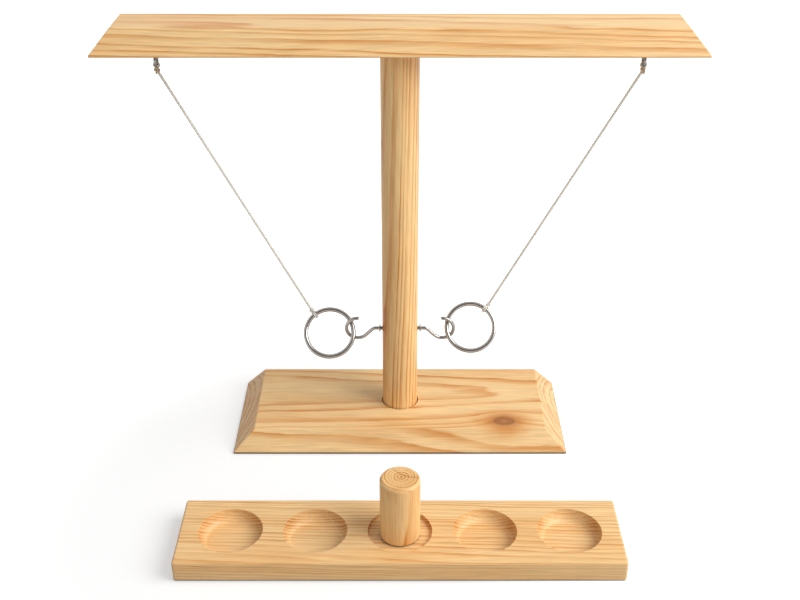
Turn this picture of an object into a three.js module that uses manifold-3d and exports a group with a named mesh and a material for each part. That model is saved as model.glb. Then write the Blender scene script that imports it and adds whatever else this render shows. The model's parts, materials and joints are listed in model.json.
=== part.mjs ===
// Hook and ring game of light pine: a stand with a pole and a crossbeam, two steel rings that hang
// on cords under the beam and catch on hooks in the pole, and a tray of cups with a loose peg.
// Millimetres, +Z up, the player at -Y. The origin is under the pole, on the table.
import * as THREE from 'three';
import { ConvexGeometry } from 'three/addons/geometries/ConvexGeometry.js';
import { mergeVertices } from 'three/addons/utils/BufferGeometryUtils.js';
import Module from 'manifold-3d';

const wasm = await Module();
wasm.setup();

// Clearance between pieces that are cut to fit each other or rest on each other
const FIT = 0.3;

// Base board
const BASE_LENGTH = 235.5;
const BASE_DEPTH = 88.8;
const BASE_THICKNESS = 14;
const BASE_END_BEVEL = 14.4;
const BASE_FRONT_BEVEL = 11.7;
const BASE_FRONT_TO_POLE = 48.3;

// Crossbeam
const BEAM_LENGTH = 376;
const BEAM_DEPTH = 44.5;
const BEAM_THICKNESS = 15;
const BEAM_END_BEVEL = 11.8;
const BEAM_FRONT_BEVEL = 13;
const BEAM_UNDERSIDE_HEIGHT = 278.4;

// Square edge that the bevels leave along the underside of a board
const BEVEL_LAND = 1.2;

// Pole and the sockets that hold its two ends
const POLE_DIAMETER = 25;
const SOCKET_DEPTH = 4;

// Double-ended wood screws that hold the pole
const DOWEL_SCREW_DIAMETER = 5;
const DOWEL_SCREW_IN_POLE = 18;
const DOWEL_SCREW_IN_BOARD = 6;
const DOWEL_SCREW_POINT = 3;

// Screw eyes under the beam, measured in from its ends
const EYE_INSET = 36;
const EYE_WIRE = 1.8;
const EYE_OUTER_DIAMETER = 8.6;
const EYE_DROP = 12.1;
const EYE_SHANK_IN_BEAM = 9;

// Screw hooks in the pole
const HOOK_HEIGHT = 75.2;
const HOOK_WIRE = 2.5;
const HOOK_REACH = 17.5;
const HOOK_BEND_RADIUS = 8;
const HOOK_NECK_RADIUS = 3.5;
const HOOK_TIP_ANGLE = 97;
const HOOK_DIP_ANGLE = 45;
const HOOK_SHANK_IN_POLE = 9;
const COLLAR_DIAMETER = 5.4;
const COLLAR_THICKNESS = 0.9;
const COLLAR_STANDOFF = 1.3;

// Rings, and where they rest in the hooks
const RING_OUTER_DIAMETER = 37;
const RING_WIRE = 3.2;
const RING_LEAN = 40;
const RING_SEAT_OUT = 3.2;
const RING_SEAT_DOWN = 1;
const LEFT_RING_TURN = 9;
const RIGHT_RING_TURN = -5;

// Cords and their knots
const CORD_DIAMETER = 1.9;
const CORD_STEP = 5;
const LOOP_STRAND = 1.4;
const LOOP_WIDTH = 2.8;
const KNOT_ANGLE = 128.5;
const UPPER_KNOT_DIAMETER = 4.6;
const LOWER_KNOT_DIAMETER = 4;

// Tray, cups and peg
const TRAY_LENGTH = 276;
const TRAY_DEPTH = 59;
const TRAY_THICKNESS = 15;
const TRAY_FRONT_TO_POLE = 173.7;
const TRAY_EDGE_ROUND = 1.2;
const CUP_COUNT = 5;
const CUP_DIAMETER = 40;
const CUP_SPACING = 52.9;
const CUP_DEPTH = 8;
const CUP_FLOOR_DIAMETER = 29.5;
const PEG_RECESS_DEPTH = 3;
const PEG_DIAMETER = 25;
const PEG_LENGTH = 44;
const PEG_EDGE_ROUND = 1.4;

// Facet counts
const ROUND_SIDES = 40;
const SCREW_SIDES = 20;
const WIRE_SIDES = 10;
const EYE_SEGMENTS = 24;
const HOOK_STEPS = 52;
const NECK_STEPS = 4;
const BEND_STEPS = 24;
const CORD_SIDES = 8;
const LOOP_SIDES = 16;
const KNOT_SIDES = 16;
const KNOT_RINGS = 10;
const CUP_WALL_STEPS = 4;
const EDGE_STEPS = 3;

// How far a cutting shape runs past the face that it opens, and the distance below which points merge
const CUT_OVERRUN = 1;
const MERGE_DISTANCE = 1e-4;

const PINE = { color: 0xe3b981, roughness: 0.62, metalness: 0 };
const PINE_DOWEL = { color: 0xdcab6e, roughness: 0.6, metalness: 0 };
const STEEL = { color: 0x8f8a84, roughness: 0.3, metalness: 1 };
const ZINC_STEEL = { color: 0xa9a9a6, roughness: 0.35, metalness: 1 };
const COTTON = { color: 0xd9cfc2, roughness: 0.95, metalness: 0 };

const degrees = THREE.MathUtils.degToRad;
const point = (x, y, z) => new THREE.Vector3(x, y, z);

// Joining and cutting closed meshes

function solidFrom(geometry) {
  const bare = geometry.index ? geometry.toNonIndexed() : geometry.clone();
  for (const name of Object.keys(bare.attributes)) {
    if (name !== 'position') bare.deleteAttribute(name);
  }
  const merged = mergeVertices(bare, MERGE_DISTANCE);
  return new wasm.Manifold(new wasm.Mesh({
    numProp: 3,
    vertProperties: new Float32Array(merged.attributes.position.array),
    triVerts: new Uint32Array(merged.index.array),
  }));
}

function geometryFrom(solid) {
  const mesh = solid.getMesh();
  const geometry = new THREE.BufferGeometry();
  geometry.setAttribute('position', new THREE.BufferAttribute(new Float32Array(mesh.vertProperties), 3));
  geometry.setIndex(new THREE.BufferAttribute(new Uint32Array(mesh.triVerts), 1));
  return geometry;
}

function cut(geometry, ...tools) {
  return geometryFrom(tools.reduce((solid, tool) => solid.subtract(solidFrom(tool)), solidFrom(geometry)));
}

function join(geometry, ...others) {
  return geometryFrom(others.reduce((solid, other) => solid.add(solidFrom(other)), solidFrom(geometry)));
}

// Basic shapes

// Round bar from one point to another
function bar(from, to, radius, sides = ROUND_SIDES) {
  const length = from.distanceTo(to);
  const geometry = new THREE.CylinderGeometry(radius, radius, length, sides);
  const turn = new THREE.Quaternion().setFromUnitVectors(
    point(0, 1, 0), to.clone().sub(from).normalize());
  geometry.applyQuaternion(turn);
  const middle = from.clone().lerp(to, 0.5);
  return geometry.translate(middle.x, middle.y, middle.z);
}

// Turned shape about Z from [radius, height] pairs that start and end on the axis
function turned(profile, sides = ROUND_SIDES) {
  const geometry = new THREE.LatheGeometry(profile.map(([r, z]) => new THREE.Vector2(r, z)), sides);
  return geometry.rotateX(Math.PI / 2);
}

// Tube of a regular section along a curve
function tube(curve, radius, steps, sides) {
  const section = new THREE.Shape();
  for (let i = 0; i < sides; i += 1) {
    const angle = (i / sides) * 2 * Math.PI;
    const x = radius * Math.cos(angle);
    const y = radius * Math.sin(angle);
    if (i === 0) section.moveTo(x, y);
    else section.lineTo(x, y);
  }
  section.closePath();
  return new THREE.ExtrudeGeometry(section, { steps, extrudePath: curve, curveSegments: 1 });
}

// Board with a square back, and bevels at the front and both ends that rise from a narrow land
function bevelledBoard(length, depth, thickness, endBevel, frontBevel, frontY, undersideZ) {
  const corners = [];
  for (const side of [-1, 1]) {
    const foot = side * length / 2;
    const top = side * (length / 2 - endBevel);
    for (const z of [undersideZ, undersideZ + BEVEL_LAND]) {
      corners.push(point(foot, frontY, z), point(foot, frontY + depth, z));
    }
    corners.push(point(top, frontY + frontBevel, undersideZ + thickness));
    corners.push(point(top, frontY + depth, undersideZ + thickness));
  }
  return new ConvexGeometry(corners);
}

// Stand

const poleRadius = POLE_DIAMETER / 2;
const poleFoot = BASE_THICKNESS - SOCKET_DEPTH + FIT;
const poleTop = BEAM_UNDERSIDE_HEIGHT + SOCKET_DEPTH - FIT;
const screwRadius = DOWEL_SCREW_DIAMETER / 2;
const eyeX = BEAM_LENGTH / 2 - EYE_INSET;
const eyeRadius = (EYE_OUTER_DIAMETER - EYE_WIRE) / 2;
// The lowest point of the eye's wire carries the cord's loop
const eyeSeatZ = BEAM_UNDERSIDE_HEIGHT - EYE_DROP + EYE_WIRE / 2;
const eyeCentreZ = eyeSeatZ + eyeRadius;
const eyeShankTop = BEAM_UNDERSIDE_HEIGHT + EYE_SHANK_IN_BEAM;

function socket(bottomZ, topZ, radius) {
  return bar(point(0, 0, bottomZ), point(0, 0, topZ), radius);
}

function baseBoard() {
  const board = bevelledBoard(BASE_LENGTH, BASE_DEPTH, BASE_THICKNESS, BASE_END_BEVEL,
    BASE_FRONT_BEVEL, -BASE_FRONT_TO_POLE, 0);
  const poleSocket = socket(BASE_THICKNESS - SOCKET_DEPTH, BASE_THICKNESS + CUT_OVERRUN, poleRadius + FIT);
  const screwHole = socket(poleFoot - DOWEL_SCREW_IN_BOARD - 2 * FIT, BASE_THICKNESS, screwRadius + FIT);
  return cut(board, poleSocket, screwHole);
}

function crossbeam() {
  const board = bevelledBoard(BEAM_LENGTH, BEAM_DEPTH, BEAM_THICKNESS, BEAM_END_BEVEL,
    BEAM_FRONT_BEVEL, -BEAM_DEPTH / 2, BEAM_UNDERSIDE_HEIGHT);
  const belowBeam = BEAM_UNDERSIDE_HEIGHT - CUT_OVERRUN;
  const poleSocket = socket(belowBeam, BEAM_UNDERSIDE_HEIGHT + SOCKET_DEPTH, poleRadius + FIT);
  const screwHole = socket(belowBeam, poleTop + DOWEL_SCREW_IN_BOARD + 2 * FIT, screwRadius + FIT);
  const eyeHoles = [-1, 1].map((side) => bar(
    point(side * eyeX, 0, belowBeam),
    point(side * eyeX, 0, eyeShankTop + FIT), EYE_WIRE / 2 + FIT, WIRE_SIDES));
  return cut(board, poleSocket, screwHole, ...eyeHoles);
}

function pole() {
  const dowel = bar(point(0, 0, poleFoot), point(0, 0, poleTop), poleRadius);
  const footHole = socket(poleFoot - CUT_OVERRUN, poleFoot + DOWEL_SCREW_IN_POLE + FIT, screwRadius + FIT);
  const topHole = socket(poleTop - DOWEL_SCREW_IN_POLE - FIT, poleTop + CUT_OVERRUN, screwRadius + FIT);
  const hookHoles = [-1, 1].map((side) => bar(
    point(side * (poleRadius - HOOK_SHANK_IN_POLE - FIT), 0, HOOK_HEIGHT),
    point(side * (poleRadius + CUT_OVERRUN), 0, HOOK_HEIGHT), HOOK_WIRE / 2 + FIT, WIRE_SIDES));
  return cut(dowel, footHole, topHole, ...hookHoles);
}

// Screw with a point at each end, standing on its lower point
function dowelScrew(lowerTip, length) {
  return turned([
    [0, lowerTip],
    [screwRadius, lowerTip + DOWEL_SCREW_POINT],
    [screwRadius, lowerTip + length - DOWEL_SCREW_POINT],
    [0, lowerTip + length],
  ], SCREW_SIDES);
}

function eyeScrew(side) {
  const x = side * eyeX;
  const eye = new THREE.TorusGeometry(eyeRadius, EYE_WIRE / 2, WIRE_SIDES, EYE_SEGMENTS);
  eye.rotateY(Math.PI / 2).translate(x, 0, eyeCentreZ);
  const shank = bar(point(x, 0, eyeCentreZ + eyeRadius), point(x, 0, eyeShankTop), EYE_WIRE / 2, WIRE_SIDES);
  return join(eye, shank);
}

// Hooks and collars. The hook lies in the plane of the beam: a straight shank, a dip, and a round bend
// that comes back over itself towards the pole.

const hookCentreX = poleRadius + HOOK_REACH;

function hookPath(side) {
  const dip = degrees(HOOK_DIP_ANGLE);
  const bendStart = Math.PI + dip;
  const joinX = hookCentreX + HOOK_BEND_RADIUS * Math.cos(bendStart);
  const joinZ = HOOK_BEND_RADIUS * Math.sin(bendStart);
  const cornerX = joinX + joinZ / Math.tan(dip);
  const neckX = cornerX - HOOK_NECK_RADIUS * Math.tan(dip / 2);
  const route = [[poleRadius - HOOK_SHANK_IN_POLE, 0], [poleRadius, 0], [(poleRadius + neckX) / 2, 0]];
  for (let i = 0; i <= NECK_STEPS; i += 1) {
    const angle = (dip * i) / NECK_STEPS;
    route.push([neckX + HOOK_NECK_RADIUS * Math.sin(angle), -HOOK_NECK_RADIUS * (1 - Math.cos(angle))]);
  }
  const bendEnd = 2 * Math.PI + degrees(HOOK_TIP_ANGLE);
  for (let i = 0; i <= BEND_STEPS; i += 1) {
    const angle = bendStart + ((bendEnd - bendStart) * i) / BEND_STEPS;
    route.push([hookCentreX + HOOK_BEND_RADIUS * Math.cos(angle), HOOK_BEND_RADIUS * Math.sin(angle)]);
  }
  return new THREE.CatmullRomCurve3(
    route.map(([x, z]) => point(side * x, 0, HOOK_HEIGHT + z)), false, 'centripetal');
}

function hook(side) {
  return tube(hookPath(side), HOOK_WIRE / 2, HOOK_STEPS, WIRE_SIDES);
}

function hookCollar(side) {
  const inner = HOOK_WIRE / 2 + FIT;
  const outer = COLLAR_DIAMETER / 2;
  const washer = turned([
    [inner, 0], [outer, 0], [outer, COLLAR_THICKNESS], [inner, COLLAR_THICKNESS], [inner, 0],
  ], SCREW_SIDES);
  washer.rotateY(side * Math.PI / 2);
  return washer.translate(side * (poleRadius + COLLAR_STANDOFF), 0, HOOK_HEIGHT);
}

// Rings, cords and knots, one set on each side. Each ring leans back from upright and is turned in its
// own plane to where it rests on the hook.

const ringRadius = (RING_OUTER_DIAMETER - RING_WIRE) / 2;
const lowerKnotOut = RING_WIRE / 2 + FIT + LOWER_KNOT_DIAMETER / 2;
const upperKnotDrop = EYE_WIRE / 2 + FIT + UPPER_KNOT_DIAMETER / 2;

function ringPlace(side, turnDegrees) {
  const outward = point(side, 0, 0);
  const rise = point(0, Math.sin(degrees(RING_LEAN)), Math.cos(degrees(RING_LEAN)));
  const seat = point(side * (hookCentreX + RING_SEAT_OUT), 0, HOOK_HEIGHT - RING_SEAT_DOWN);
  const turn = degrees(turnDegrees);
  const centre = seat.clone()
    .addScaledVector(outward, ringRadius * Math.cos(turn))
    .addScaledVector(rise, -ringRadius * Math.sin(turn));
  // Direction from the ring's centre to its knot
  const knotAngle = degrees(KNOT_ANGLE);
  const toKnot = outward.clone().multiplyScalar(-Math.cos(knotAngle))
    .addScaledVector(rise, Math.sin(knotAngle));
  const normal = point(1, 0, 0).cross(rise);
  return {
    seat,
    centre,
    normal,
    toKnot,
    loop: centre.clone().addScaledVector(toKnot, ringRadius),
    lowerKnot: centre.clone().addScaledVector(toKnot, ringRadius + lowerKnotOut),
    upperKnot: point(side * eyeX, 0, eyeSeatZ - upperKnotDrop),
  };
}

// Moves a shape made about Z to a place, with its axis along a direction
function placed(geometry, axis, position) {
  geometry.applyQuaternion(new THREE.Quaternion().setFromUnitVectors(point(0, 0, 1), axis));
  return geometry.translate(position.x, position.y, position.z);
}

function ring(place) {
  const torus = new THREE.TorusGeometry(ringRadius, RING_WIRE / 2, WIRE_SIDES, ROUND_SIDES);
  return placed(torus, place.normal, place.centre);
}

// Loop of cord about Z round a wire, oval in section
function cordLoop(wireDiameter, width) {
  const middle = wireDiameter / 2 + FIT + LOOP_STRAND / 2;
  const profile = [];
  for (let i = 0; i <= CORD_SIDES; i += 1) {
    const angle = (i / CORD_SIDES) * 2 * Math.PI;
    profile.push([middle + (LOOP_STRAND / 2) * Math.cos(angle), (width / 2) * Math.sin(angle)]);
  }
  return turned(profile, LOOP_SIDES);
}

function knotBall(diameter, position) {
  const ball = new THREE.SphereGeometry(diameter / 2, KNOT_SIDES, KNOT_RINGS);
  return ball.translate(position.x, position.y, position.z);
}

function upperKnot(side, place) {
  const loop = placed(cordLoop(EYE_WIRE, LOOP_STRAND), point(0, 1, 0), point(side * eyeX, 0, eyeSeatZ));
  return join(loop, knotBall(UPPER_KNOT_DIAMETER, place.upperKnot));
}

function lowerKnot(place) {
  const along = place.normal.clone().cross(place.toKnot).normalize();
  const loop = placed(cordLoop(RING_WIRE, LOOP_WIDTH), along, place.loop);
  return join(loop, knotBall(LOWER_KNOT_DIAMETER, place.lowerKnot));
}

// Taut cord from knot to knot
function cord(place) {
  const down = place.lowerKnot.clone().sub(place.upperKnot).normalize();
  const start = place.upperKnot.clone().addScaledVector(down, UPPER_KNOT_DIAMETER / 2 + FIT);
  const end = place.lowerKnot.clone().addScaledVector(down, -LOWER_KNOT_DIAMETER / 2 - FIT);
  const steps = Math.round(start.distanceTo(end) / CORD_STEP);
  return tube(new THREE.LineCurve3(start, end), CORD_DIAMETER / 2, steps, CORD_SIDES);
}

// Tray and peg

const trayCentreY = -TRAY_FRONT_TO_POLE + TRAY_DEPTH / 2;
const middleCup = (CUP_COUNT - 1) / 2;
const pegFloorZ = TRAY_THICKNESS - PEG_RECESS_DEPTH;

function trayBoard() {
  const r = TRAY_EDGE_ROUND;
  const outline = new THREE.Shape();
  const halfX = TRAY_LENGTH / 2 - r;
  const halfY = TRAY_DEPTH / 2 - r;
  outline.moveTo(-halfX, -halfY);
  outline.lineTo(halfX, -halfY);
  outline.lineTo(halfX, halfY);
  outline.lineTo(-halfX, halfY);
  outline.closePath();
  const board = new THREE.ExtrudeGeometry(outline, {
    depth: TRAY_THICKNESS - 2 * r,
    bevelEnabled: true,
    bevelSize: r,
    bevelThickness: r,
    bevelSegments: EDGE_STEPS,
  });
  return board.translate(0, trayCentreY, r);
}

// Bowl with a flat floor and a hollow wall, from the rim down, with room above the rim
function cupTool() {
  const rim = CUP_DIAMETER / 2;
  const floor = CUP_FLOOR_DIAMETER / 2;
  const above = TRAY_THICKNESS + CUT_OVERRUN;
  const profile = [[0, above], [rim, above]];
  for (let i = 0; i <= CUP_WALL_STEPS; i += 1) {
    const angle = (i / CUP_WALL_STEPS) * (Math.PI / 2);
    profile.push([
      floor + (rim - floor) * Math.cos(angle),
      TRAY_THICKNESS - CUP_DEPTH * Math.sin(angle),
    ]);
  }
  profile.push([0, TRAY_THICKNESS - CUP_DEPTH]);
  return turned(profile.reverse());
}

function tray() {
  const recesses = [];
  for (let i = 0; i < CUP_COUNT; i += 1) {
    const x = (i - middleCup) * CUP_SPACING;
    const recess = i === middleCup
      ? bar(point(0, 0, pegFloorZ), point(0, 0, TRAY_THICKNESS + CUT_OVERRUN), CUP_DIAMETER / 2)
      : cupTool();
    recesses.push(recess.translate(x, trayCentreY, 0));
  }
  return cut(trayBoard(), ...recesses);
}

function peg() {
  const radius = PEG_DIAMETER / 2;
  const profile = [[0, 0], [radius, 0]];
  for (let i = 0; i <= EDGE_STEPS; i += 1) {
    const angle = (i / EDGE_STEPS) * (Math.PI / 2);
    profile.push([
      radius - PEG_EDGE_ROUND * (1 - Math.cos(angle)),
      PEG_LENGTH - PEG_EDGE_ROUND * (1 - Math.sin(angle)),
    ]);
  }
  profile.push([0, PEG_LENGTH]);
  return turned(profile).translate(0, trayCentreY, pegFloorZ + FIT);
}

// Scene graph

function piece(name, geometry, finish) {
  const mesh = new THREE.Mesh(geometry, new THREE.MeshStandardMaterial(finish));
  mesh.name = name;
  return mesh;
}

const stand = new THREE.Group();
const screwLength = DOWEL_SCREW_IN_POLE + DOWEL_SCREW_IN_BOARD;
stand.add(
  piece('base_board', baseBoard(), PINE),
  piece('pole', pole(), PINE_DOWEL),
  piece('crossbeam', crossbeam(), PINE),
  piece('base_dowel_screw', dowelScrew(poleFoot - DOWEL_SCREW_IN_BOARD, screwLength), ZINC_STEEL),
  piece('beam_dowel_screw', dowelScrew(poleTop - DOWEL_SCREW_IN_POLE, screwLength), ZINC_STEEL),
);

const swingSets = new THREE.Group();
const sides = [
  { name: 'left', side: -1, turn: LEFT_RING_TURN },
  { name: 'right', side: 1, turn: RIGHT_RING_TURN },
];
for (const { name, side, turn } of sides) {
  const place = ringPlace(side, turn);
  stand.add(
    piece(`${name}_eye_screw`, eyeScrew(side), ZINC_STEEL),
    piece(`${name}_hook`, hook(side), STEEL),
    piece(`${name}_hook_collar`, hookCollar(side), STEEL),
  );
  swingSets.add(
    piece(`${name}_upper_knot`, upperKnot(side, place), COTTON),
    piece(`${name}_cord`, cord(place), COTTON),
    piece(`${name}_lower_knot`, lowerKnot(place), COTTON),
    piece(`${name}_ring`, ring(place), STEEL),
  );
}

const traySet = new THREE.Group();
traySet.add(piece('tray', tray(), PINE), piece('peg', peg(), PINE_DOWEL));

const game = new THREE.Group();
game.add(stand, swingSets, traySet);

export default game;
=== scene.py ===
"""Looks of a hook and ring toss game of light pine, built round its frame.

A stand with a pole and a crossbeam, two steel rings on twisted cords that catch on hooks in the pole,
and a tray of round cups with a loose peg. Metres, +Z up, the player at -Y.
"""
import json
import math

import bmesh
import bpy
from bpy.props import FloatProperty, FloatVectorProperty, PointerProperty
from mathutils import Matrix, Vector


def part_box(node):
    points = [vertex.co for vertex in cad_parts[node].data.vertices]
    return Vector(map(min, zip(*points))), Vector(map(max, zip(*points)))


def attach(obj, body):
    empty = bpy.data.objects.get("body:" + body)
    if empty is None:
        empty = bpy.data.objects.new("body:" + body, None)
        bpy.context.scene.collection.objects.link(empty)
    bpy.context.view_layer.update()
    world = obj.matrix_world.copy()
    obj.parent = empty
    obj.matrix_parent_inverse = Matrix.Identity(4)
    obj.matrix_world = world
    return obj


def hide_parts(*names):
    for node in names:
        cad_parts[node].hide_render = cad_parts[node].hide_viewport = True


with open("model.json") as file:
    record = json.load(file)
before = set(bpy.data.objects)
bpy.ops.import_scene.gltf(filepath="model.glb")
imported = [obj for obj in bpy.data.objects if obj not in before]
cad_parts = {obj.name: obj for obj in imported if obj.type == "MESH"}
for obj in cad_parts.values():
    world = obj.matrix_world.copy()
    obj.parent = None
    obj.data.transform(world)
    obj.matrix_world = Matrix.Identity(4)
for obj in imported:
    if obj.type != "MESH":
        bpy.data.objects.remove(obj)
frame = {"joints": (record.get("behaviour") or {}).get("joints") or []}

bl_info = {
    "name": "Hook and ring toss game",
    "version": (1, 0, 0),
    "blender": (4, 5, 0),
    "location": "3D View > Sidebar > Ring game",
    "description": "Builds the pine, steel and cotton pieces of a hook and ring toss game round its frame",
    "category": "Object",
}

MM = 0.001
UP = Vector((0, 0, 1))
RIGHT = Vector((1, 0, 0))
BACK = Vector((0, 1, 0))
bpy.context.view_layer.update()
JOINT_AT = {joint["name"]: Vector(joint["pos_m"]) for joint in frame["joints"] if "pos_m" in joint}
SIDES = (("left", -1), ("right", 1))

# Sizes repeated from the part's source, in metres
FIT = 0.3 * MM
BEVEL_LAND = 1.2 * MM
BASE_END_BEVEL = 14.4 * MM
BASE_FRONT_BEVEL = 11.7 * MM
BEAM_END_BEVEL = 11.8 * MM
BEAM_FRONT_BEVEL = 13 * MM
SOCKET_DEPTH = 4 * MM
DOWEL_SCREW_POINT = 3 * MM
EYE_WIRE = 1.8 * MM
HOOK_HEIGHT = 75.2 * MM
HOOK_WIRE = 2.5 * MM
HOOK_REACH = 17.5 * MM
HOOK_BEND_RADIUS = 8 * MM
HOOK_NECK_RADIUS = 3.5 * MM
HOOK_TIP_ANGLE = math.radians(97)
HOOK_DIP_ANGLE = math.radians(45)
RING_WIRE = 3.2 * MM
UPPER_KNOT_DIAMETER = 4.6 * MM
LOWER_KNOT_DIAMETER = 4 * MM
CUP_COUNT = 5
CUP_DIAMETER = 40 * MM
CUP_SPACING = 52.9 * MM
CUP_DEPTH = 8 * MM
CUP_FLOOR_DIAMETER = 29.5 * MM
PEG_RECESS_DEPTH = 3 * MM

# Fine detail of the wood: room round the pole in its sockets, and the base's foot drawn in
SEAT_GAP = 0.5 * MM
UNDERCUT = 0.6 * MM
# The base's branch knot, the peg's pith off its middle, and how much lower the peg's band of painted contact
# shade ends
BASE_KNOT_AT = (74.5 * MM, -27.5 * MM)
BASE_KNOT_RADIUS = 4.1 * MM
PEG_PITH_OFFSET = (1.2 * MM, -0.8 * MM)
PEG_FOOT_SHADE_DROP = 0.7 * MM

# Fine detail of the steel: how far shanks and threads reach in and out of the wood, and what is rounded
HOOK_ROOT_DEPTH = 8 * MM
HOOK_THREAD_IN = 7 * MM
HOOK_THREAD_OUT = 1.4 * MM
EYE_THREAD_OUT = 1.2 * MM
HOOK_TIP_ROUND = 0.45 * MM
COLLAR_ARRIS = 0.28 * MM
# Height of the threads, the share of it sunk in the bar, and the share of the pitch that each flank takes
HOOK_THREAD_HEIGHT = 0.35 * MM
EYE_THREAD_HEIGHT = 0.3 * MM
THREAD_SINK = 0.25
THREAD_FLANK = 0.3
# Dowel screws: their tips, their core as a share of the outside, and their pitch in pitches of the wire
SCREW_TIP_RADIUS = 0.2 * MM
SCREW_CORE_SHARE = 0.82
SCREW_PITCHES = 2.2

# Strands of the cords in shares of their diameter, and the thinner, tighter cord of the knots
STRAND_OFFSET = 0.16
STRAND_RADIUS = 0.36
KNOT_CORD = 0.78
KNOT_STRAND = 0.27
KNOT_LAY = 0.7
# Where the knots on the right face, and how their tails leave and droop
KNOT_FACE = (0.25, -0.9, 0.2)
TAIL_WAY = (0.35, -0.5, -0.75)
TAIL_DROOP = 0.35
RING_TAIL_SHARE = 0.8
RING_TAIL_OUT = 0.5
RING_TAIL_FRONT = 0.6
# Turns of the cord round a ring, and the frayed yarns of its cut ends
RING_TURNS = 2
RING_WRAP_WIDTH = 2.2 * MM
EYE_KNOT_FRAY = 1 * MM
RING_KNOT_FRAY = 1.3 * MM
YARN_COUNT = 7
YARN_RADIUS = 0.14 * MM
YARN_SPREAD = 0.45
YARN_SINK = 0.3 * MM

# Roundness of what is modelled here, and how near to each other points count as one
ROUND_SIDES = 64
WIRE_SIDES = 16
COLLAR_SIDES = 40
RING_STEPS = 96
EYE_STEPS = 48
NECK_STEPS = 10
BEND_STEPS = 56
LAY_STEPS = 14
KNOT_STEPS = 72
LOOP_STEPS = 28
TAIL_STEPS = 8
CUP_WALL_STEPS = 10
MERGE_DISTANCE = 0.002 * MM
RIM_TOLERANCE = 0.1 * MM

# Angles in degrees past which an edge stays sharp, and past which it is rounded
BOARD_CREASE = 32
WIRE_CREASE = 50
ROUND_CREASE = 80
ARRIS_ANGLE = 20

# Camera, lamp and floor, whose glow is painted dimmer round the middle of the shadows
CAMERA_AT = (0, -0.675, 0.484)
CAMERA_TILT = math.radians(60.24)
KEY_AT = (1.6, -0.54, 1.52)
KEY_AIM = Vector((0, -0.03, 0.1))
KEY_SIZE = 1.9
FLOOR_REACH = 4
FLOOR_DROP = 0.1 * MM
FLOOR_GREY = 0.58
SHADOW_MIDDLE = (-0.09, -0.12, 0)
SHADOW_FADE = (0.1, 0.34)
# Darker side of the room, and what it loses from its edge (1 and 3) to its middle (2 and 4)
DARK_SIDE = (0.1, -0.8, 0.59)
DARKNESS = {1: 0.5, 2: 0.9, 3: 0, 4: 0.8}

# Colours
PINE_EARLY = "F4CF96"
PINE_DOWEL = "FBD395"
PINE_LATE = "D0822A"
PINE_ROSY = "E6AC68"
PINE_KNOT = "8A4C1C"
PINE_END = "A8641C"
# Dark brown painted along the feet of the base, tray and peg as painted contact shade
FOOT_SHADE_PINE = "3E2A1C"
RING_STEEL = "B4B0AB"
HOOK_STEEL = "B0ACA7"
ZINC_STEEL = "8B8B88"
COTTON = "F9F7F2"
SOILED_COTTON = "F3E8D6"


# Settings

def linear(hex_colour):
    """Linear red, green and blue of an sRGB hex colour."""
    channels = [int(hex_colour[i:i + 2], 16) / 255 for i in (0, 2, 4)]
    return tuple(c / 12.92 if c <= 0.04045 else ((c + 0.055) / 1.055) ** 2.4 for c in channels)


def colour_property(name, description, hex_colour):
    return FloatVectorProperty(name=name, description=description, subtype="COLOR", size=3, min=0, max=1,
                               default=linear(hex_colour))


def length_property(name, description, length):
    return FloatProperty(name=name, description=description, default=length, unit="LENGTH")


class WoodSettings(bpy.types.PropertyGroup):
    """Pine of the boards, the pole and the peg"""

    early: colour_property("Early wood", "Pale wood that grows in spring", PINE_EARLY)
    dowel: colour_property("Dowel wood", "Pale wood of the pole and the peg", PINE_DOWEL)
    late: colour_property("Late wood", "Honey brown lines that end each year", PINE_LATE)
    rosy: colour_property("Rosy tone", "Warmer patches of the wood", PINE_ROSY)
    knot: colour_property("Knot", "Heart of a branch knot", PINE_KNOT)
    end: colour_property("Cut ends", "Wood cut across the grain, which drinks in the finish", PINE_END)
    # Painted contact shade along the edges that the pieces stand on
    foot_shade: colour_property("Painted foot shade", "Edges that the pieces stand on", FOOT_SHADE_PINE)
    base_year: length_property("Base year", "Width of a year's growth in the base board", 3.2 * MM)
    beam_year: length_property("Beam year", "Width of a year's growth in the crossbeam", 2.72 * MM)
    tray_year: length_property("Tray year", "Width of a year's growth in the tray", 2.08 * MM)
    pole_year: length_property("Pole year", "Width of a year's growth in the pole", 2.9 * MM)
    peg_year: length_property("Peg year", "Width of a year's growth in the peg", 1.972 * MM)
    arris: length_property("Arris", "Rounding sanded on the edges of the stand and the peg's foot", 0.8 * MM)
    tray_arris: length_property("Tray arris", "Rounding sanded on the tray's outer edges", 1.76 * MM)
    cup_arris: length_property("Cup arris", "Rounding sanded on the rims of the cups", 0.36 * MM)
    peg_arris: length_property("Peg arris", "Rounding turned on the top edge of the peg", 2.2 * MM)


class MetalSettings(bpy.types.PropertyGroup):
    """Steel of the rings, hooks and screw eyes"""

    ring: colour_property("Ring steel", "Bent and welded steel of the rings", RING_STEEL)
    hook: colour_property("Hook steel", "Drawn wire of the hooks", HOOK_STEEL)
    zinc: colour_property("Zinc", "Plating of the screw eyes", ZINC_STEEL)
    thread_pitch: length_property("Thread pitch", "Advance of the screw threads", 0.9 * MM)


class CordSettings(bpy.types.PropertyGroup):
    """Twisted cotton of the cords and knots"""

    cotton: colour_property("Cotton", "Undyed yarn", COTTON)
    soiled: colour_property("Soiled cotton", "Yarn of the knots that rub on the screw eyes", SOILED_COTTON)
    diameter: length_property("Diameter", "Cord across its strands", 1.9 * MM)
    lay: length_property("Lay", "Length of one turn of the strands", 6.5 * MM)
    tail: length_property("Tail", "Cord end left beyond a knot", 1.4 * MM)


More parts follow.
